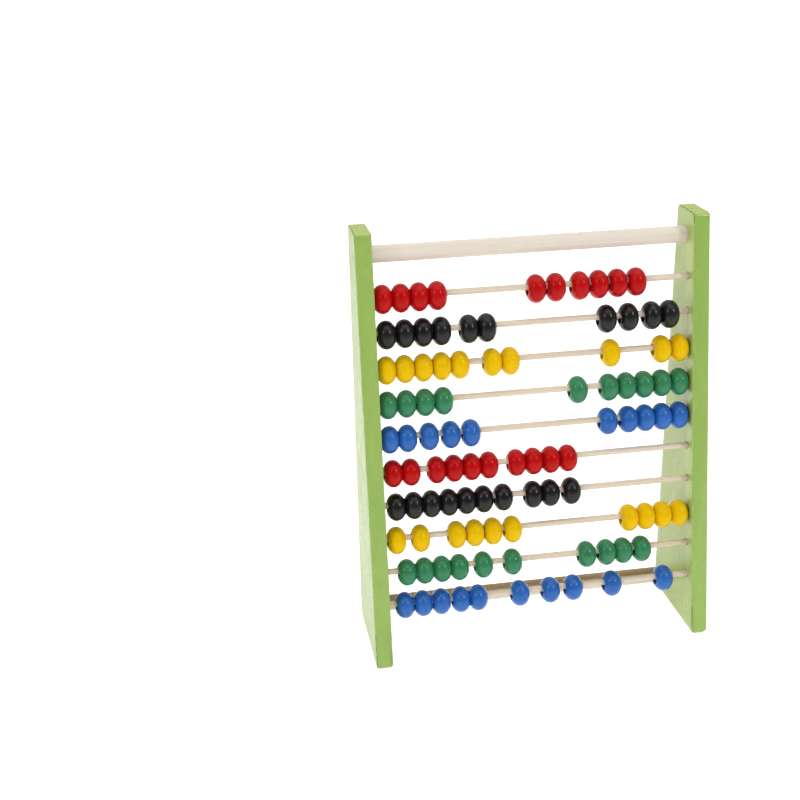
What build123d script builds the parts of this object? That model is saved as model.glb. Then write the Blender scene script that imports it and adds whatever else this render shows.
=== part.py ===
"""Ten-rod counting abacus: two sloping side panels, a top rail, a lower stretcher, ten rods, 100 beads.

X runs along the rods from left to right, -Y is the front and +Z is up. The origin is on the
surface that the abacus stands on, at the middle of its width and of its depth.
"""

import os

from build123d import *

os.makedirs("parts", exist_ok=True)

# Side panels: boards whose front edge leans back, so that the foot is deeper than the top.
height = 241.5
inner_width = 175.5
panel_thickness = 9.5
foot_depth = 63.0
top_depth = 24.0
rear_lean = 3.5
corner_radius = 2.2
edge_radius = 1.0

# Thick dowels: the rail that the abacus is carried by, and the stretcher between the heels.
dowel_diameter = 9.5
rail_height = 227.3
stretcher_height = 10.0
stretcher_from_heel = 7.5
dowel_socket_depth = 6.0
dowel_chamfer = 0.6

# Bead rods: one plane of thin dowels, parallel to the panels' front edge.
rod_count = 10
rod_diameter = 3.5
top_rod_height = 205.6
rod_pitch = 19.13
rod_from_front = 8.8
rod_socket_depth = 5.0
rod_chamfer = 0.3

# Sockets are this much wider and deeper than the dowel that is glued in them.
glue_gap = 0.05
glue_depth = 0.2

# Beads: turned oblate beads with flat ends, on a bore much wider than the rod. Their diameter
# differs a little from row to row, as each colour and size comes from its own batch.
bead_length = 9.8
bead_end_diameter = 8.2
bead_bore = 6.6
crown_length = 7.4
crown_rise = 1.75
hanging_gap = 0.2

# Rows of beads, top row first: (colour, bead diameter, runs). A run is one bead, or several that
# touch: (first bead's centre, last bead's centre, beads), with the centres in X.
bead_rows = [
    ("red", 15.9, [(-82.6, -53.0, 4), (1.5, 12.5, 2), (26.0, 58.0, 4)]),
    ("black", 15.9, [(-81.5, -51.5, 4), (-36.4, -26.5, 2), (41.0, 41.0, 1), (53.5, 53.5, 1),
                     (66.8, 77.0, 2)]),
    ("yellow", 15.7, [(-82.4, -42.0, 5), (-24.1, -14.0, 2), (43.0, 43.0, 1), (72.4, 82.6, 2)]),
    ("green", 15.5, [(-82.6, -51.8, 4), (24.0, 24.0, 1), (41.8, 82.6, 5)]),
    ("blue", 15.5, [(-82.5, -72.6, 2), (-60.6, -60.6, 1), (-48.5, -48.5, 1), (-37.2, -37.2, 1),
                    (41.0, 41.0, 1), (53.0, 82.6, 4)]),
    ("red", 15.4, [(-81.5, -71.6, 2), (-57.3, -27.7, 4), (-12.1, 17.5, 4)]),
    ("black", 15.5, [(-80.6, -31.3, 6), (-20.1, -20.1, 1), (-2.9, 7.0, 2), (19.2, 19.2, 1)]),
    ("yellow", 15.6, [(-81.4, -81.4, 1), (-67.8, -67.8, 1), (-47.4, -26.6, 3), (-15.3, -15.3, 1),
                      (53.0, 82.6, 4)]),
    ("green", 15.1, [(-76.3, -46.5, 4), (-32.7, -32.7, 1), (-15.8, -15.8, 1), (27.7, 27.7, 1),
                     (39.4, 49.3, 2), (60.3, 60.3, 1)]),
    ("blue", 14.9, [(-78.4, -57.6, 3), (-46.3, -36.3, 2), (-12.0, -12.0, 1), (5.9, 5.9, 1),
                    (19.5, 19.5, 1), (42.5, 42.5, 1), (73.5, 73.5, 1)]),
]

front_at_foot = -foot_depth / 2
rear_at_foot = foot_depth / 2
rear_at_top = rear_at_foot - rear_lean
front_at_top = rear_at_top - top_depth
inner_face = inner_width / 2


def front_edge(z):
    """Y of the panels' front edge at height z."""
    return front_at_foot + (front_at_top - front_at_foot) * z / height


def rear_edge(z):
    """Y of the panels' rear edge at height z."""
    return rear_at_foot + (rear_at_top - rear_at_foot) * z / height


def rod_place(row):
    """(Y, Z) of a bead rod's axis; row 0 is the top one."""
    z = top_rod_height - rod_pitch * row
    return front_edge(z) + rod_from_front, z


rail_place = ((front_edge(rail_height) + rear_edge(rail_height)) / 2, rail_height)
stretcher_place = (rear_edge(stretcher_height) - stretcher_from_heel, stretcher_height)


def side_panel(side):
    """Side board, side -1 for the left one: outline, dowel sockets in its inner face, eased edges."""
    inner_plane = Plane.YZ.offset(side * inner_face)
    with BuildPart() as panel:
        with BuildSketch(inner_plane) as outline:
            with BuildLine():
                Polyline(
                    (front_at_foot, 0),
                    (rear_at_foot, 0),
                    (rear_at_top, height),
                    (front_at_top, height),
                    close=True,
                )
            make_face()
            fillet(outline.vertices(), corner_radius)
        extrude(amount=side * panel_thickness)
        broad_faces = panel.faces().sort_by(Axis.X)
        fillet(broad_faces[0].edges() + broad_faces[-1].edges(), edge_radius)
        with BuildSketch(inner_plane):
            with Locations(rail_place, stretcher_place):
                Circle(dowel_diameter / 2 + glue_gap)
        extrude(amount=side * dowel_socket_depth, mode=Mode.SUBTRACT)
        with BuildSketch(inner_plane):
            with Locations(*[rod_place(row) for row in range(rod_count)]):
                Circle(rod_diameter / 2 + glue_gap)
        extrude(amount=side * rod_socket_depth, mode=Mode.SUBTRACT)
    return panel.part


def cross_dowel(place, diameter, socket_depth, end_chamfer):
    """Round dowel from socket to socket along X, centred on (Y, Z) = place."""
    half_length = inner_face + socket_depth - glue_depth
    with BuildPart() as dowel:
        with BuildSketch(Plane.YZ):
            with Locations(place):
                Circle(diameter / 2)
        extrude(amount=half_length, both=True)
        end_rims = dowel.edges().filter_by(GeomType.CIRCLE)
        chamfer(end_rims, end_chamfer)
    return dowel.part


def bead_run(row, diameter, first, last, beads):
    """Beads side by side on one rod, hanging on it by the top of their bores."""
    rod_y, rod_z = rod_place(row)
    slack = (bead_bore - rod_diameter) / 2
    axis_z = rod_z - slack + hanging_gap
    pitch = (last - first) / max(beads - 1, 1)
    end_x = bead_length / 2
    crown_start = (-crown_length / 2, diameter / 2 - crown_rise)
    crown_end = (crown_length / 2, diameter / 2 - crown_rise)
    with BuildPart() as run:
        for index in range(beads):
            centre = (first + pitch * index, rod_y, axis_z)
            with BuildSketch(Plane(origin=centre, x_dir=(1, 0, 0), z_dir=(0, -1, 0))):
                with BuildLine():
                    crown = ThreePointArc(crown_start, (0, diameter / 2), crown_end)
                    flank = TangentArc(crown @ 1, (end_x, bead_end_diameter / 2), tangent=crown % 1)
                    mirror(flank, about=Plane.YZ)
                    Polyline(
                        (end_x, bead_end_diameter / 2),
                        (end_x, bead_bore / 2),
                        (-end_x, bead_bore / 2),
                        (-end_x, bead_end_diameter / 2),
                    )
                make_face()
            revolve(axis=Axis(centre, (1, 0, 0)))
    return run.part


for panel_name, panel_side in (("left_side_panel", -1), ("right_side_panel", 1)):
    board = side_panel(panel_side)
    board.label = panel_name
    export_step(board, f"parts/{panel_name}.step")

top_rail = cross_dowel(rail_place, dowel_diameter, dowel_socket_depth, dowel_chamfer)
top_rail.label = "top_rail"
export_step(top_rail, "parts/top_rail.step")

lower_stretcher = cross_dowel(stretcher_place, dowel_diameter, dowel_socket_depth, dowel_chamfer)
lower_stretcher.label = "lower_stretcher"
export_step(lower_stretcher, "parts/lower_stretcher.step")

for rod_row in range(rod_count):
    rod = cross_dowel(rod_place(rod_row), rod_diameter, rod_socket_depth, rod_chamfer)
    rod.label = f"bead_rod_{rod_row + 1}"
    export_step(rod, f"parts/{rod.label}.step")

for bead_row, (colour, bead_diameter, runs) in enumerate(bead_rows):
    for letter, (first_centre, last_centre, bead_count) in zip("abcdefg", runs):
        beads = bead_run(bead_row, bead_diameter, first_centre, last_centre, bead_count)
        beads.label = f"{colour}_beads_row_{bead_row + 1}_{letter}"
        export_step(beads, f"parts/{beads.label}.step")
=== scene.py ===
"""Visual model of the ten-rod counting abacus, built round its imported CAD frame. Units are metres."""

import math
import random

import bmesh
import bpy
from mathutils import Matrix, Vector, noise


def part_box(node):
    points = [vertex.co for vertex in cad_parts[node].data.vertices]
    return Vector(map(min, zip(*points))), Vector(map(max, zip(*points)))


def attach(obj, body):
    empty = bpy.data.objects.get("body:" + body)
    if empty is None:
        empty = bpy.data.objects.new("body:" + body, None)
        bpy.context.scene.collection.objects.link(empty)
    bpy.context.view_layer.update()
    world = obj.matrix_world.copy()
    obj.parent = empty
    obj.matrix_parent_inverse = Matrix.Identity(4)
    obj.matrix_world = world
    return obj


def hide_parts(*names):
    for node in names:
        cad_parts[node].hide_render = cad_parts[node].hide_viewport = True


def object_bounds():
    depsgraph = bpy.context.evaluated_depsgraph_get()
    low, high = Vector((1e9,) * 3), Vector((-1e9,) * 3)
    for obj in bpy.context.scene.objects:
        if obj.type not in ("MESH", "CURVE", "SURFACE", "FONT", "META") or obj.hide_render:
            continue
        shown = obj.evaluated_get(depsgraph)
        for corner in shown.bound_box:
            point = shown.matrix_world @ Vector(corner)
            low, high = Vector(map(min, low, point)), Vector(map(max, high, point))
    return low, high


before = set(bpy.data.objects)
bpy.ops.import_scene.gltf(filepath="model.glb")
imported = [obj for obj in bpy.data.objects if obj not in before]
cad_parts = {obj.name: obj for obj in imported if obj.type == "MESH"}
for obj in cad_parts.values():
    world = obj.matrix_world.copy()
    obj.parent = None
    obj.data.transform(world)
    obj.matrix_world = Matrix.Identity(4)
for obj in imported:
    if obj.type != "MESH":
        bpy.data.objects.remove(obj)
cad_low, cad_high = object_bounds()

MM = 0.001
NODES = sorted(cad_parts)
BEAD_NODES = [name for name in NODES if "_beads_row_" in name]
ROD_NODES = [name for name in NODES if name.startswith("bead_rod_")]
DOWEL_NODES = ["top_rail", "lower_stretcher"]
PANEL_NODES = ["left_side_panel", "right_side_panel"]

# Side panel outline: the same driving dimensions as the CAD panel's.
FOOT_DEPTH = 63.0 * MM
TOP_DEPTH = 24.0 * MM
REAR_LEAN = 3.5 * MM
INNER_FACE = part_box("right_side_panel")[0].x
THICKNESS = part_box("right_side_panel")[1].x - INNER_FACE

# The outline's corners are cut back about as far as the CAD's 2.2 mm fillets reach.
CORNER_BEVEL = 2.5 * MM
CORNER_SEGMENTS = 6
EDGE_RADIUS = 1.0 * MM
EDGE_SEGMENTS = 4
SHARP_FROM = math.radians(60)
SHADED_SHARP_FROM = math.radians(40)

# Grid cuts of a board across its thickness, its depth and its height.
BOARD_CUTS = (0, 8, 47)
# The sanded faces dip by up to this much, with so many waves a metre along X, Y and Z.
BOARD_DIP = 0.10 * MM
BOARD_DIP_WAVES = (60, 60, 35)
# Vertices lower than this keep their place, so that the foot stands on the floor.
DIPS_START_AT = 1 * MM

# How far each foot is worn in from its broad faces, and up to what height.
FOOT_WEAR = {"left_side_panel": (1.6 * MM, 2.4 * MM), "right_side_panel": (2.8 * MM, 3.2 * MM)}
# Heights, as shares of the worn height, where a foot gets a ring of vertices.
WEAR_RINGS = (0.30, 0.50, 0.70, 0.85, 1.0)
CUT_TOLERANCE = 1e-7

# Sockets in the boards: depth, and gap round the dowel.
DOWEL_SOCKET_DEPTH = 6.0 * MM
ROD_SOCKET_DEPTH = 5.0 * MM
DOWEL_SOCKET_GAP = 0.15 * MM
ROD_SOCKET_GAP = 0.42 * MM
SOCKET_SEGMENTS = 40
CUTTER_OVERHANG = 3 * MM

# Dowels: vertices around, spacing of the rings, end chamfer and depth of the sanding marks, then
# the marks' waves a metre along a dowel and how much they change round it.
THICK_DOWEL = {"around": 72, "ring_step": 4 * MM, "chamfer": 0.6 * MM, "ripple": 0.08 * MM}
THIN_DOWEL = {"around": 40, "ring_step": 3 * MM, "chamfer": 0.3 * MM, "ripple": 0.05 * MM}
RIPPLE_WAVES = 45
RIPPLE_TURNS = 1.3

# Bead outline, as turned: a round crown between two flatter flanks, flat ends and a wide bore.
BEAD_BORE = 6.6 * MM
BEAD_END_DIAMETER = 8.2 * MM
CROWN_LENGTH = 7.4 * MM
CROWN_RISE = 1.75 * MM
MOUTH_ROUNDING = 0.25 * MM
MOUTH_STEPS = 3
FLANK_STEPS = 6
CROWN_STEPS = 9
STEPS_AROUND = 64
BEAD_LENGTH = min(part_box(name)[1].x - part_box(name)[0].x for name in BEAD_NODES)
# Usual spacing of the beads in a run, as a share of their length.
USUAL_PITCH = 1.04

# How beads differ: least girth as a share of the full one, unevenness and its waves a metre, and
# tilt in degrees.
LEAST_GIRTH = 0.990
BEAD_WOBBLE = 0.0048
WOBBLE_WAVES = 160
TURN_TILT = 1.0
NOD_TILT = 0.8


# ---------------------------------------------------------------------------------------------
# Materials
# ---------------------------------------------------------------------------------------------


class Shader:
    """One node material: adds nodes and links them, with the Principled surface at hand."""

    def __init__(self, name):
        self.material = bpy.data.materials.new(name)
        self.material.use_nodes = True
        self.tree = self.material.node_tree
        self.surface = self.tree.nodes["Principled BSDF"]

    def node(self, kind, inputs=None, **settings):
        made = self.tree.nodes.new(kind)
        for key, value in settings.items():
            setattr(made, key, value)
        for key, value in (inputs or {}).items():
            self.feed(made.inputs[key], value)
        return made

    def feed(self, socket, value):
        if isinstance(value, bpy.types.NodeSocket):
            self.tree.links.new(value, socket)
        else:
            socket.default_value = value

    def coordinates(self, scale):
        """Object-space position in metres, times scale along X, Y and Z."""
        texture = self.node("ShaderNodeTexCoord")
        mapping = self.node("ShaderNodeMapping", {"Vector": texture.outputs["Object"], "Scale": scale})
        return mapping.outputs["Vector"]

    def place(self):
        """Object-space position in metres, axis by axis."""
        return self.node("ShaderNodeSeparateXYZ", {"Vector": self.coordinates((1, 1, 1))}).outputs

    def facing(self):
        """Object-space surface normal, axis by axis."""
        texture = self.node("ShaderNodeTexCoord")
        return self.node("ShaderNodeSeparateXYZ", {"Vector": texture.outputs["Normal"]}).outputs

    def noise(self, vector, scale=1.0, detail=3.0, roughness=0.5, distortion=0.0):
        inputs = {
            "Vector": vector,
            "Scale": scale,
            "Detail": detail,
            "Roughness": roughness,
            "Distortion": distortion,
        }
        return self.node("ShaderNodeTexNoise", inputs).outputs["Fac"]

    def remap(self, value, low, high, to_low=0.0, to_high=1.0, smooth=False):
        """Value's range low to high, clamped and stretched to to_low to to_high."""
        inputs = {
            "Value": value,
            "From Min": low,
            "From Max": high,
            "To Min": to_low,
            "To Max": to_high,
        }
        kind = "SMOOTHSTEP" if smooth else "LINEAR"
        return self.node("ShaderNodeMapRange", inputs, interpolation_type=kind).outputs["Result"]

    def math(self, operation, first, second=0.0):
        return self.node("ShaderNodeMath", {0: first, 1: second}, operation=operation).outputs[0]

    def times(self, first, second):
        return self.math("MULTIPLY", first, second)

    def mix(self, factor, first, second):
        """Colour that goes from first to second as factor goes from 0 to 1."""
        made = self.node("ShaderNodeMix", data_type="RGBA")
        self.feed(made.inputs[0], factor)
        self.feed(made.inputs[6], first)
        self.feed(made.inputs[7], second)
        return made.outputs[2]

    def bump(self, height, strength, distance, under=None):
        inputs = {"Height": height, "Strength": strength, "Distance": distance}
        if under is not None:
            inputs["Normal"] = under
        return self.node("ShaderNodeBump", inputs).outputs["Normal"]

    def specks(self, vector, scale, size, share):
        """Small round marks: 1 inside one, on that share of the texture's cells."""
        cells = self.node("ShaderNodeTexVoronoi", {"Vector": vector, "Scale": scale, "Randomness": 1.0})
        inside = self.remap(cells.outputs["Distance"], size * 0.6, size, 1.0, 0.0, smooth=True)
        chance = self.node("ShaderNodeSeparateColor", {"Color": cells.outputs["Color"]}).outputs["Red"]
        chosen = self.math("LESS_THAN", chance, share)
        return self.times(inside, chosen)

    def finish(self, colour, roughness, normal, constants):
        """Links what varies over the surface, and sets on the surface's own sockets what doesn't."""
        self.feed(self.surface.inputs["Base Color"], colour)
        self.feed(self.surface.inputs["Roughness"], roughness)
        self.feed(self.surface.inputs["Normal"], normal)
        for key, value in constants.items():
            self.surface.inputs[key].default_value = value
        return self.material


def rgb(red, green, blue):
    return (red, green, blue, 1.0)


def painted_panel(name, height):
    """Apple-green paint on a sanded board, worn dark along its edges, with painted light: paler broad
    and level faces, darker outer faces, pale edge highlights and faint shade low by the inner edges.
    """
    paint = Shader(name)
    base = rgb(0.262, 0.420, 0.070)
    deep = rgb(0.215, 0.368, 0.056)
    pale = rgb(0.305, 0.462, 0.095)
    # The next three tones are painted light: the paler sheen of the broad faces, the shade of the outer
    # faces, and the light on the level faces.
    sheen_pale = rgb(0.382, 0.480, 0.130)
    outer_shade = rgb(0.305, 0.402, 0.105)
    lit_level = rgb(0.390, 0.490, 0.105)
    # Painted highlight for the rounded edges.
    highlight_pale = rgb(0.500, 0.560, 0.290)
    # Dark wear, also used for painted shade.
    wear_and_shade = rgb(0.055, 0.062, 0.024)
    dark = rgb(0.050, 0.080, 0.022)

    # Uneven paint: wide clouds, then a finer mottle.
    cloud = paint.noise(paint.coordinates((60, 60, 13)), detail=5.0, roughness=0.6)
    mottle = paint.noise(paint.coordinates((230, 230, 110)), detail=4.0, roughness=0.6)
    colour = paint.mix(paint.remap(cloud, 0.35, 0.65), deep, pale)
    colour = paint.mix(0.45, colour, base)
    colour = paint.mix(paint.remap(mottle, 0.45, 0.75, to_high=0.45), colour, deep)

    # Painted light on the broad and level faces, in blotches: the broad faces paler as painted sheen,
    # the outer ones a darker tone as painted shade, and the level faces lit paler.
    facing = paint.facing()
    place = paint.place()
    across = paint.math("ABSOLUTE", facing["X"])
    aside = paint.math("ABSOLUTE", place["X"])
    broad = paint.remap(across, 0.70, 0.95, smooth=True)
    level = paint.remap(paint.math("ABSOLUTE", facing["Z"]), 0.60, 0.95, smooth=True)
    blotches = paint.remap(mottle, 0.30, 0.62, to_low=0.55)
    outer = paint.remap(aside, INNER_FACE + 0.2 * THICKNESS, INNER_FACE + 0.8 * THICKNESS)
    broad_light_and_shade = paint.mix(outer, sheen_pale, outer_shade)
    colour = paint.mix(paint.times(broad, blotches), colour, broad_light_and_shade)
    colour = paint.mix(paint.times(level, blotches), colour, lit_level)

    # A painted highlight: a paler strip on the rounded edges.
    edge_highlight = paint.remap(across, 0.55, 0.85, smooth=True)
    edge_highlight = paint.times(edge_highlight, paint.remap(across, 0.99, 0.93, smooth=True))
    colour = paint.mix(paint.times(edge_highlight, 0.5), colour, highlight_pale)

    # Upright grain that shows through the paint.
    grain_at = paint.coordinates((900, 900, 35))
    grain = paint.noise(grain_at, detail=5.0, roughness=0.6, distortion=0.4)
    colour = paint.mix(paint.remap(grain, 0.45, 0.8, to_high=0.28), colour, deep)

    # Dark specks, stronger where the clouds are pale and fainter on the broad faces.
    speck_at = paint.coordinates((1, 1, 1))
    marks = paint.specks(speck_at, scale=480.0, size=0.15, share=0.34)
    marks = paint.times(marks, paint.remap(cloud, 0.38, 0.62, to_low=0.25, to_high=0.75))
    marks = paint.times(marks, paint.remap(broad, 0.0, 1.0, to_low=1.0, to_high=0.45))
    colour = paint.mix(marks, colour, dark)

    # Broken dark wear along the ridges, most of it near the top and the foot.
    ridge = paint.remap(across, 0.42, 0.62, smooth=True)
    ridge = paint.times(ridge, paint.remap(across, 0.95, 0.82, smooth=True))
    near_top = paint.remap(place["Z"], height - 9 * MM, height - 2 * MM)
    near_foot = paint.remap(place["Z"], 30 * MM, 8 * MM)
    exposed = paint.math("MAXIMUM", paint.math("MAXIMUM", near_top, near_foot), 0.12)
    patches = paint.noise(paint.coordinates((330, 330, 150)), detail=5.0, roughness=0.7)
    whole = paint.math("SUBTRACT", patches, paint.times(exposed, 0.13))
    whole = paint.remap(whole, 0.36, 0.46)
    rubbed = paint.times(ridge, paint.remap(whole, 1.0, 0.0))
    rubbed = paint.times(rubbed, paint.remap(exposed, 0.0, 0.6, to_low=0.45))
    colour = paint.mix(paint.times(rubbed, 0.85), colour, wear_and_shade)

    # Painted shade: a faint darker strip low on the narrow faces, on their inner side. A dark line
    # along the bottom edge, darkest at the floor.
    inner_edge_shade = paint.remap(aside, INNER_FACE + 0.24 * THICKNESS, INNER_FACE + 0.16 * THICKNESS)
    inner_edge_shade = paint.times(inner_edge_shade, paint.remap(across, 0.55, 0.30))
    inner_edge_shade = paint.times(inner_edge_shade, paint.times(near_foot, paint.remap(whole, 1.3, 0.3)))
    colour = paint.mix(paint.times(inner_edge_shade, 0.22), colour, wear_and_shade)
    floor_line = paint.remap(place["Z"], 1.3 * MM, 0.5 * MM)
    colour = paint.mix(paint.times(floor_line, 0.6), colour, wear_and_shade)

    # Relief: slow waves, grain, the skin of the paint, and dents with the specks.
    dents = paint.specks(speck_at, scale=95.0, size=0.075, share=0.12)
    waves = paint.noise(paint.coordinates((75, 75, 16)), detail=2.0, roughness=0.5)
    film = paint.noise(paint.coordinates((1500, 1500, 1500)), detail=3.0, roughness=0.6)
    normal = paint.bump(waves, strength=0.35, distance=1.2 * MM)
    normal = paint.bump(grain, strength=0.25, distance=0.08 * MM, under=normal)
    normal = paint.bump(film, strength=0.12, distance=0.05 * MM, under=normal)
    pits = paint.math("ADD", dents, marks)
    normal = paint.bump(pits, strength=-0.20, distance=0.15 * MM, under=normal)

    roughness = paint.remap(mottle, 0.3, 0.7, to_low=0.24, to_high=0.42)
    roughness = paint.math("ADD", roughness, paint.times(rubbed, 0.25))
    constants = {"Specular IOR Level": 0.70, "Specular Tint": rgb(1.0, 0.93, 0.80)}
    return paint.finish(colour, roughness, normal, constants)


def bare_wood(name, streak_scale, pale, warm, banded_node=None):
    """Bare pale wood along X: streaks, pores, warm drift, and a brown band along the top of the given
    node, if any.
    """
    wood = Shader(name)
    brown = rgb(0.330, 0.225, 0.130)
    top_band_brown = rgb(0.340, 0.205, 0.075)

    # Lengthwise streaks and fibres, over a slow drift.
    streak_at = wood.coordinates((5, streak_scale, streak_scale))
    streaks = wood.noise(streak_at, detail=5.0, roughness=0.6, distortion=0.1)
    fibre_at = wood.coordinates((40, 4200, 4200))
    fibres = wood.noise(fibre_at, detail=3.0, roughness=0.6)
    drift = wood.noise(wood.coordinates((14, 70, 70)), detail=2.0)
    colour = wood.mix(wood.remap(streaks, 0.38, 0.72, to_high=0.8), pale, warm)
    colour = wood.mix(wood.remap(drift, 0.40, 0.75, to_high=0.35), colour, warm)
    colour = wood.mix(wood.remap(fibres, 0.50, 0.85, to_high=0.30), colour, warm)
    # A brown band along the top of the given dowel, made uneven by the streaks.
    if banded_node:
        low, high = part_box(banded_node)
        centre, radius = (low.z + high.z) / 2, (high.z - low.z) / 2
        band_from, band_to = centre + 0.52 * radius, centre + 0.72 * radius
        top_band = wood.remap(wood.place()["Z"], band_from, band_to, smooth=True)
        uneven = wood.remap(streaks, 0.30, 0.60, to_low=0.75)
        colour = wood.mix(wood.times(top_band, uneven), colour, top_band_brown)

    # Short dark pores and a few specks.
    pores = wood.noise(wood.coordinates((260, 2600, 2600)), detail=1.0)
    pores = wood.remap(pores, 0.70, 0.78, smooth=True)
    colour = wood.mix(wood.times(pores, 0.55), colour, brown)
    specks = wood.specks(wood.coordinates((0.35, 1, 1)), scale=230.0, size=0.09, share=0.14)
    colour = wood.mix(wood.times(specks, 0.75), colour, brown)

    normal = wood.bump(fibres, strength=0.45, distance=0.08 * MM)
    normal = wood.bump(pores, strength=-0.35, distance=0.08 * MM, under=normal)
    roughness = wood.remap(streaks, 0.3, 0.7, to_low=0.52, to_high=0.66)
    return wood.finish(colour, roughness, normal, {"Specular IOR Level": 0.35})


def bead_lacquer(name, base, deep, bright, sheen_tint):
    """Coloured gloss lacquer on a turned bead: soft variation, turning rings, film ripple, scuffs."""
    lacquer = Shader(name)
    # Slightly uneven colour with a few specks.
    cloud = lacquer.noise(lacquer.coordinates((140, 140, 140)), detail=3.0, roughness=0.55)
    colour = lacquer.mix(lacquer.remap(cloud, 0.35, 0.65), deep, bright)
    colour = lacquer.mix(0.6, colour, base)
    specks = lacquer.specks(lacquer.coordinates((1, 1, 1)), scale=300.0, size=0.085, share=0.05)
    colour = lacquer.mix(lacquer.times(specks, 0.6), colour, deep)

    # Relief: turning rings, ripples in the film, its skin, and the specks.
    rings = lacquer.noise(lacquer.coordinates((2600, 25, 25)), detail=2.0, roughness=0.5)
    ripple = lacquer.noise(lacquer.coordinates((520, 520, 520)), detail=2.0, roughness=0.5)
    film = lacquer.noise(lacquer.coordinates((3000, 3000, 3000)), detail=2.0)
    normal = lacquer.bump(rings, strength=0.12, distance=0.05 * MM)
    normal = lacquer.bump(ripple, strength=0.25, distance=0.12 * MM, under=normal)
    normal = lacquer.bump(film, strength=0.10, distance=0.03 * MM, under=normal)
    normal = lacquer.bump(specks, strength=-0.5, distance=0.15 * MM, under=normal)

    # Gloss that varies and is dulled by scuffs.
    scuffs = lacquer.noise(lacquer.coordinates((300, 900, 900)), detail=4.0, roughness=0.7)
    scuffs = lacquer.remap(scuffs, 0.58, 0.75, smooth=True)
    roughness = lacquer.remap(cloud, 0.3, 0.7, to_low=0.23, to_high=0.30)
    roughness = lacquer.math("ADD", roughness, lacquer.times(scuffs, 0.12))
    constants = {"Specular IOR Level": 0.36, "Specular Tint": sheen_tint}
    return lacquer.finish(colour, roughness, normal, constants)


PANEL_PAINT = painted_panel("panel_paint_apple_green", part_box(PANEL_NODES[0])[1].z)

CREAM = rgb(0.740, 0.675, 0.590)
STRAW = rgb(0.665, 0.570, 0.460)
BISCUIT = rgb(0.735, 0.640, 0.515)
SAND = rgb(0.635, 0.510, 0.375)
WOOD_FINISH = {
    "top_rail": bare_wood("natural_wood_rail", 620, CREAM, STRAW),
    "lower_stretcher": bare_wood("natural_wood_stretcher", 620, CREAM, STRAW, "lower_stretcher"),
    "bead_rod": bare_wood("natural_wood_bead_rod", 1100, BISCUIT, SAND),
}

# Lacquer of each colour: base, deep and bright tones, and the tint of its sheen.
LACQUERS = {
    "red": (
        rgb(0.440, 0.003, 0.004),
        rgb(0.370, 0.002, 0.003),
        rgb(0.520, 0.006, 0.006),
        rgb(1.0, 0.30, 0.27),
    ),
    "black": (
        rgb(0.007, 0.007, 0.008),
        rgb(0.005, 0.005, 0.006),
        rgb(0.010, 0.010, 0.011),
        rgb(0.80, 0.80, 0.80),
    ),
    "yellow": (
        rgb(0.760, 0.465, 0.001),
        rgb(0.720, 0.425, 0.001),
        rgb(0.800, 0.505, 0.002),
        rgb(1.0, 0.90, 0.14),
    ),
    "green": (
        rgb(0.026, 0.195, 0.080),
        rgb(0.018, 0.155, 0.062),
        rgb(0.034, 0.230, 0.098),
        rgb(0.85, 1.0, 0.92),
    ),
    "blue": (
        rgb(0.018, 0.115, 0.420),
        rgb(0.012, 0.085, 0.340),
        rgb(0.026, 0.145, 0.500),
        rgb(0.80, 0.90, 1.0),
    ),
}
BEAD_FINISH = {}
for bead_colour, tones in LACQUERS.items():
    BEAD_FINISH[bead_colour] = bead_lacquer(f"bead_lacquer_{bead_colour}", *tones)


# ---------------------------------------------------------------------------------------------
# Pieces
# ---------------------------------------------------------------------------------------------


def finish_piece(name, mesh_builder, material, body, node):
    """Turns a bmesh into a smooth-shaded piece that rides on its body and stands for its CAD node."""
    mesh = bpy.data.meshes.new(name)
    mesh_builder.to_mesh(mesh)
    mesh_builder.free()
    piece = bpy.data.objects.new(name, mesh)
    bpy.context.scene.collection.objects.link(piece)
    mesh.materials.append(material)
    mesh.polygons.foreach_set("use_smooth", [True] * len(mesh.polygons))
    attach(piece, body)
    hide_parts(node)
    return piece


def revolve(outline, around, closed):
    """Quads swept round the X axis from a list of (x, radius) points."""
    bm = bmesh.new()
    rings = []
    for x, radius in outline:
        ring = []
        for step in range(around):
            angle = 2 * math.pi * step / around
            ring.append(bm.verts.new((x, radius * math.cos(angle), radius * math.sin(angle))))
        rings.append(ring)
    pairs = list(zip(rings, rings[1:]))
    if closed:
        pairs.append((rings[-1], rings[0]))
    for first, second in pairs:
        for step in range(around):
            after = (step + 1) % around
            bm.faces.new((first[step], first[after], second[after], second[step]))
    if not closed:
        bm.faces.new(rings[0])
        bm.faces.new(rings[-1])
    bmesh.ops.recalc_face_normals(bm, faces=bm.faces)
    return bm


def arc(centre, radius, start, end, steps):
    """Points on a circle from angle start to angle end, both included."""
    points = []
    for step in range(steps + 1):
        angle = start + (end - start) * step / steps
        points.append((centre[0] + radius * math.cos(angle), centre[1] + radius * math.sin(angle)))
    return points


def noise_offset(chance):
    """Random place in the noise field, so that no two pieces are uneven alike."""
    return Vector([chance.uniform(-50, 50) for _ in range(3)])


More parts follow.
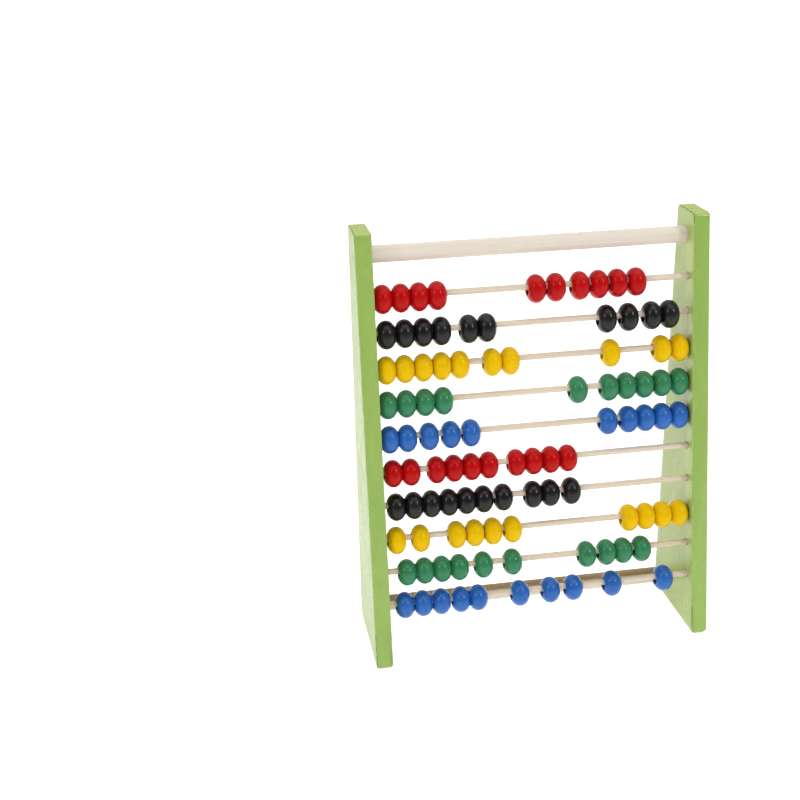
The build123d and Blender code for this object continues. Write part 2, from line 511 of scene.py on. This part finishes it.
def bead_outline(length, diameter):
    """(x, radius) points of a bead's section: bore, mouth, flank, crown, then the same mirrored."""
    top = diameter / 2
    half_crown = CROWN_LENGTH / 2
    shoulder = Vector((half_crown, top - CROWN_RISE))
    crown_radius = (half_crown**2 + CROWN_RISE**2) / (2 * CROWN_RISE)
    crown_centre = Vector((0, top - crown_radius))
    outward = (shoulder - crown_centre).normalized()
    end = Vector((length / 2, BEAD_END_DIAMETER / 2))
    chord = end - shoulder
    flank_radius = -chord.length_squared / (2 * chord.dot(outward))
    flank_centre = shoulder - outward * flank_radius
    shoulder_angle = math.atan2(outward.y, outward.x)
    end_angle = math.atan2(end.y - flank_centre.y, end.x - flank_centre.x)
    bore = BEAD_BORE / 2
    mouth = (length / 2 - MOUTH_ROUNDING, bore + MOUTH_ROUNDING)
    half = [(0.0, bore), (length / 4, bore)]
    half += arc(mouth, MOUTH_ROUNDING, -math.pi / 2, 0, MOUTH_STEPS)
    half += arc(flank_centre, flank_radius, end_angle, shoulder_angle, FLANK_STEPS)
    half += arc(crown_centre, crown_radius, shoulder_angle, math.pi / 2, CROWN_STEPS)[1:]
    mirrored = [(-x, radius) for x, radius in reversed(half[1:-1])]
    return half + mirrored


def make_beads(node):
    """The separate beads of one CAD run, each a little different, tilted a little on its loose bore."""
    low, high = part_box(node)
    colour, _, row_and_letter = node.partition("_beads_row_")
    diameter = high.z - low.z
    centre_y, centre_z = (low.y + high.y) / 2, (low.z + high.z) / 2
    span = high.x - low.x - BEAD_LENGTH
    count = round(span / (USUAL_PITCH * BEAD_LENGTH)) + 1
    for index in range(count):
        chance = random.Random(f"{node} {index}")
        centre_x = low.x + BEAD_LENGTH / 2 + (span * index / (count - 1) if count > 1 else 0.0)
        bm = revolve(bead_outline(BEAD_LENGTH, diameter), STEPS_AROUND, closed=True)
        plump = chance.uniform(LEAST_GIRTH, 1.0)
        offset = noise_offset(chance)
        for vert in bm.verts:
            radial = math.hypot(vert.co.y, vert.co.z)
            outer = max(0.0, (radial - BEAD_END_DIAMETER / 2) / (diameter / 2 - BEAD_END_DIAMETER / 2))
            wobble = noise.noise(vert.co * WOBBLE_WAVES + offset) * BEAD_WOBBLE
            factor = 1 + outer * (plump - 1 + wobble)
            vert.co.y *= factor
            vert.co.z *= factor
        tilt = Matrix.Rotation(math.radians(chance.uniform(-TURN_TILT, TURN_TILT)), 4, "Z")
        tilt = tilt @ Matrix.Rotation(math.radians(chance.uniform(-NOD_TILT, NOD_TILT)), 4, "Y")
        bm.transform(Matrix.Translation((centre_x, centre_y, centre_z)) @ tilt)
        name = f"{colour}_bead_row_{row_and_letter}_{index + 1}"
        finish_piece(name, bm, BEAD_FINISH[colour], node, node)


def make_dowel(node, material, around, ring_step, chamfer, ripple):
    """Round dowel along X with eased ends and the slight unevenness of sanded stock."""
    low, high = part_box(node)
    radius = (high.z - low.z) / 2
    centre = Vector(((low.x + high.x) / 2, (low.y + high.y) / 2, (low.z + high.z) / 2))
    half = (high.x - low.x) / 2
    rings = round(2 * half / ring_step)
    outline = [(-half, radius - chamfer)]
    for step in range(rings + 1):
        outline.append((-half + chamfer + (2 * half - 2 * chamfer) * step / rings, radius))
    outline.append((half, radius - chamfer))
    bm = revolve(outline, around, closed=False)
    chance = random.Random(node)
    offset = noise_offset(chance)
    for vert in bm.verts:
        along = vert.co.x
        turn = math.atan2(vert.co.z, vert.co.y)
        wave_at = (along * RIPPLE_WAVES, math.cos(turn) * RIPPLE_TURNS, math.sin(turn) * RIPPLE_TURNS)
        place = Vector(wave_at) + offset
        shrink = 1 - ripple * (0.5 + 0.5 * noise.noise(place)) / radius
        vert.co.y *= shrink
        vert.co.z *= shrink
    bm.transform(Matrix.Translation(centre))
    finish_piece(node + "_turned", bm, material, "frame", node)


def front_edge(height_share):
    return -FOOT_DEPTH / 2 + (FOOT_DEPTH - REAR_LEAN - TOP_DEPTH) * height_share


def rear_edge(height_share):
    return FOOT_DEPTH / 2 - REAR_LEAN * height_share


def runs_along(edge, axis):
    """Whether an edge runs roughly along axis 0, 1 or 2, for X, Y or Z."""
    direction = edge.verts[0].co - edge.verts[1].co
    return abs(direction[axis]) > 0.9 * direction.length


def sliced_block(cuts):
    """Unit cube, 0 to 1 each way, with its faces cut into a grid of quads."""
    bm = bmesh.new()
    bmesh.ops.create_cube(bm, size=1.0)
    bmesh.ops.translate(bm, verts=bm.verts, vec=(0.5, 0.5, 0.5))
    for axis, count in enumerate(cuts):
        along = [edge for edge in bm.edges if runs_along(edge, axis)]
        bmesh.ops.subdivide_edges(bm, edges=along, cuts=count, use_grid_fill=True)
    return bm


def sharp_edges(bm, least_angle):
    return [e for e in bm.edges if len(e.link_faces) == 2 and e.calc_face_angle() > least_angle]


def bevel(bm, edges, offset, segments):
    bmesh.ops.bevel(bm, geom=edges, offset=offset, segments=segments, profile=0.5, affect="EDGES")


def cut_sockets(piece, side, inner_x, sockets):
    """Blind holes in a panel's inner face: sockets are (node of the dowel, depth, gap round it)."""
    bm = bmesh.new()
    for node, depth, gap in sockets:
        low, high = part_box(node)
        radius = (high.z - low.z) / 2 + gap
        start, end = inner_x - side * CUTTER_OVERHANG, inner_x + side * depth
        middle = ((start + end) / 2, (low.y + high.y) / 2, (low.z + high.z) / 2)
        turn = Matrix.Rotation(math.pi / 2, 4, "Y")
        bmesh.ops.create_cone(
            bm,
            cap_ends=True,
            segments=SOCKET_SEGMENTS,
            radius1=radius,
            radius2=radius,
            depth=abs(end - start),
            matrix=Matrix.Translation(middle) @ turn,
        )
    mesh = bpy.data.meshes.new("socket_cutters")
    bm.to_mesh(mesh)
    bm.free()
    cutter = bpy.data.objects.new("socket_cutters", mesh)
    bpy.context.scene.collection.objects.link(cutter)
    modifier = piece.modifiers.new("sockets", "BOOLEAN")
    modifier.operation = "DIFFERENCE"
    modifier.solver = "EXACT"
    modifier.object = cutter
    bpy.context.view_layer.update()
    evaluated = piece.evaluated_get(bpy.context.evaluated_depsgraph_get())
    cut_mesh = bpy.data.meshes.new_from_object(evaluated)
    piece.modifiers.clear()
    old = piece.data
    piece.data = cut_mesh
    cut_mesh.name = piece.name
    bpy.data.meshes.remove(old)
    bpy.data.objects.remove(cutter)
    bpy.data.meshes.remove(mesh)


def round_off_foot(bm, middle_x, wear, worn_height):
    """Draws the broad faces in towards the board's middle just above the floor, as a foot wears."""
    for height_share in WEAR_RINGS:
        bmesh.ops.bisect_plane(
            bm,
            geom=bm.verts[:] + bm.edges[:] + bm.faces[:],
            dist=CUT_TOLERANCE,
            plane_co=(0, 0, worn_height * height_share),
            plane_no=(0, 0, 1),
        )
    for vert in bm.verts:
        below = min(1.0, max(0.0, 1 - vert.co.z / worn_height))
        inset = wear * (1 - math.sqrt(1 - below**2))
        vert.co.x -= math.copysign(inset, vert.co.x - middle_x)


def make_panel(node, side):
    """Side board: sloping outline, rounded corners, eased edges, a worn foot and dowel sockets."""
    low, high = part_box(node)
    height = high.z
    bm = sliced_block(BOARD_CUTS)
    for vert in bm.verts:
        share = vert.co.z
        front, rear = front_edge(share), rear_edge(share)
        y = front + (rear - front) * vert.co.y
        vert.co = Vector((low.x + (high.x - low.x) * vert.co.x, y, height * share))
    corners = [edge for edge in sharp_edges(bm, SHARP_FROM) if runs_along(edge, 0)]
    bevel(bm, corners, CORNER_BEVEL, CORNER_SEGMENTS)
    bevel(bm, sharp_edges(bm, SHARP_FROM), EDGE_RADIUS, EDGE_SEGMENTS)
    round_off_foot(bm, (low.x + high.x) / 2, *FOOT_WEAR[node])
    chance = random.Random(node)
    offset = noise_offset(chance)
    bm.normal_update()
    for vert in bm.verts:
        dip = 0.5 + 0.5 * noise.noise(vert.co * Vector(BOARD_DIP_WAVES) + offset)
        if vert.co.z > DIPS_START_AT:
            vert.co -= vert.normal * dip * BOARD_DIP
    inner_x = low.x if side > 0 else high.x
    piece = finish_piece(node + "_board", bm, PANEL_PAINT, "frame", node)
    sockets = [(name, DOWEL_SOCKET_DEPTH, DOWEL_SOCKET_GAP) for name in DOWEL_NODES]
    sockets += [(name, ROD_SOCKET_DEPTH, ROD_SOCKET_GAP) for name in ROD_NODES]
    cut_sockets(piece, side, inner_x, sockets)
    piece.data.set_sharp_from_angle(angle=SHADED_SHARP_FROM)


for panel_node, panel_side in zip(PANEL_NODES, (-1, 1)):
    make_panel(panel_node, panel_side)
for dowel_node in DOWEL_NODES:
    make_dowel(dowel_node, WOOD_FINISH[dowel_node], **THICK_DOWEL)
for rod_node in ROD_NODES:
    make_dowel(rod_node, WOOD_FINISH["bead_rod"], **THIN_DOWEL)
for bead_node in BEAD_NODES:
    make_beads(bead_node)


# ---------------------------------------------------------------------------------------------
# Camera, light and floor
# ---------------------------------------------------------------------------------------------


CAMERA_PLACE = (-0.1780, -0.6390, 0.4028)
CAMERA_YAW = math.radians(9.11)
CAMERA_PITCH = math.radians(21.41)
CAMERA_ROLL = math.radians(-1.36)
SENSOR_WIDTH = 36.0
LENS = 57.6

# Softboxes: place, size, and power in watts.
SOFTBOXES = {
    "softbox_key": ((0.75, -0.95, 1.15), (0.24, 0.40), 5.9),
    "softbox_fill": ((-1.15, -0.50, 0.95), (0.30, 0.42), 3.5),
    "softbox_top": ((0.0, 0.10, 1.60), (1.8, 1.8), 14.0),
}

# Surround: the way to its bright side, its strengths, and where the band on the horizon fades.
BRIGHT_SIDE = (0.0, 0.60, 0.80)
BRIGHT_FROM = 0.9
SKY_DIM = 0.21
SKY_BRIGHT = 0.65
BAND_FADE = (0.07, 0.12)

# Floor: its glow near the middle and far from it, and how far out it changes, then the share of
# the glow that is left far in front, and the stretch of Y that it fades over.
FLOOR_SIZE = 12.0
FLOOR_GLOW_NEAR = 0.80
FLOOR_GLOW_FAR = 0.78
GLOW_CHANGES = (0.15, 1.0)
FLOOR_FRONT_SHARE = 0.40
FRONT_FADE = (-0.35, -0.95)


def make_camera():
    """Looks down on the abacus from the front left, at arm's length."""
    data = bpy.data.cameras.new("camera")
    data.sensor_width = SENSOR_WIDTH
    data.lens = LENS
    camera = bpy.data.objects.new("camera", data)
    bpy.context.scene.collection.objects.link(camera)
    turn = Matrix.Rotation(-CAMERA_YAW, 4, "Z")
    turn = turn @ Matrix.Rotation(math.pi / 2 - CAMERA_PITCH, 4, "X")
    turn = turn @ Matrix.Rotation(CAMERA_ROLL, 4, "Z")
    camera.matrix_world = Matrix.Translation(CAMERA_PLACE) @ turn
    bpy.context.scene.camera = camera


def make_light(name, place, target, size, power):
    data = bpy.data.lights.new(name, "AREA")
    data.shape = "RECTANGLE"
    data.size, data.size_y = size
    data.energy = power
    light = bpy.data.objects.new(name, data)
    bpy.context.scene.collection.objects.link(light)
    light.location = place
    light.rotation_euler = (Vector(target) - Vector(place)).to_track_quat("-Z", "Y").to_euler()


def studio_white(name):
    """Plain pale floor that glows, less so far in front of the object."""
    floor = Shader(name)
    away = floor.node("ShaderNodeVectorMath", {0: floor.coordinates((1, 1, 1))}, operation="LENGTH")
    distance = away.outputs["Value"]
    glow = floor.remap(distance, *GLOW_CHANGES, FLOOR_GLOW_NEAR, FLOOR_GLOW_FAR, smooth=True)
    in_front = floor.remap(floor.place()["Y"], *FRONT_FADE, 1.0, FLOOR_FRONT_SHARE, smooth=True)
    floor.feed(floor.surface.inputs["Emission Strength"], floor.times(glow, in_front))
    constants = {
        "Emission Color": rgb(1.0, 1.0, 1.0),
        "Base Color": rgb(0.75, 0.75, 0.75),
        "Roughness": 0.9,
        "Specular IOR Level": 0.1,
    }
    for key, value in constants.items():
        floor.surface.inputs[key].default_value = value
    return floor.material


def make_stage():
    """Wide pale floor under the studio surround."""
    bm = bmesh.new()
    bmesh.ops.create_grid(bm, x_segments=1, y_segments=1, size=FLOOR_SIZE)
    mesh = bpy.data.meshes.new("floor")
    bm.to_mesh(mesh)
    bm.free()
    mesh.materials.append(studio_white("studio_floor"))
    floor = bpy.data.objects.new("floor", mesh)
    bpy.context.scene.collection.objects.link(floor)
    bpy.context.scene.world = studio_surround()


def studio_surround():
    """Bright overhead and behind, dim in front, with an even pale band round the horizon."""
    world = bpy.data.worlds.new("studio")
    world.use_nodes = True
    nodes, links = world.node_tree.nodes, world.node_tree.links
    direction = nodes.new("ShaderNodeTexCoord").outputs["Generated"]
    toward = nodes.new("ShaderNodeVectorMath")
    toward.operation = "DOT_PRODUCT"
    toward.inputs[1].default_value = BRIGHT_SIDE
    links.new(direction, toward.inputs[0])
    spread = nodes.new("ShaderNodeMapRange")
    spread.interpolation_type = "SMOOTHSTEP"
    spread.inputs["From Min"].default_value = 0.0
    spread.inputs["From Max"].default_value = BRIGHT_FROM
    spread.inputs["To Min"].default_value = SKY_DIM
    spread.inputs["To Max"].default_value = SKY_BRIGHT
    links.new(toward.outputs["Value"], spread.inputs["Value"])
    split = nodes.new("ShaderNodeSeparateXYZ")
    links.new(direction, split.inputs[0])
    height = nodes.new("ShaderNodeMath")
    height.operation = "ABSOLUTE"
    links.new(split.outputs["Z"], height.inputs[0])
    band = nodes.new("ShaderNodeMapRange")
    band.inputs["From Min"].default_value = BAND_FADE[0]
    band.inputs["From Max"].default_value = BAND_FADE[1]
    band.inputs["To Min"].default_value = 1.0
    band.inputs["To Max"].default_value = 0.0
    links.new(height.outputs[0], band.inputs["Value"])
    brightest = nodes.new("ShaderNodeMath")
    brightest.operation = "MAXIMUM"
    links.new(spread.outputs["Result"], brightest.inputs[0])
    links.new(band.outputs["Result"], brightest.inputs[1])
    links.new(brightest.outputs[0], nodes["Background"].inputs["Strength"])
    nodes["Background"].inputs["Color"].default_value = rgb(1.0, 1.0, 1.0)
    return world


make_camera()
make_stage()
middle = (0, 0, (cad_low.z + cad_high.z) / 2)
for softbox, (softbox_place, softbox_size, watts) in SOFTBOXES.items():
    make_light(softbox, softbox_place, middle, softbox_size, watts)
bpy.context.scene.view_settings.view_transform = "Standard"
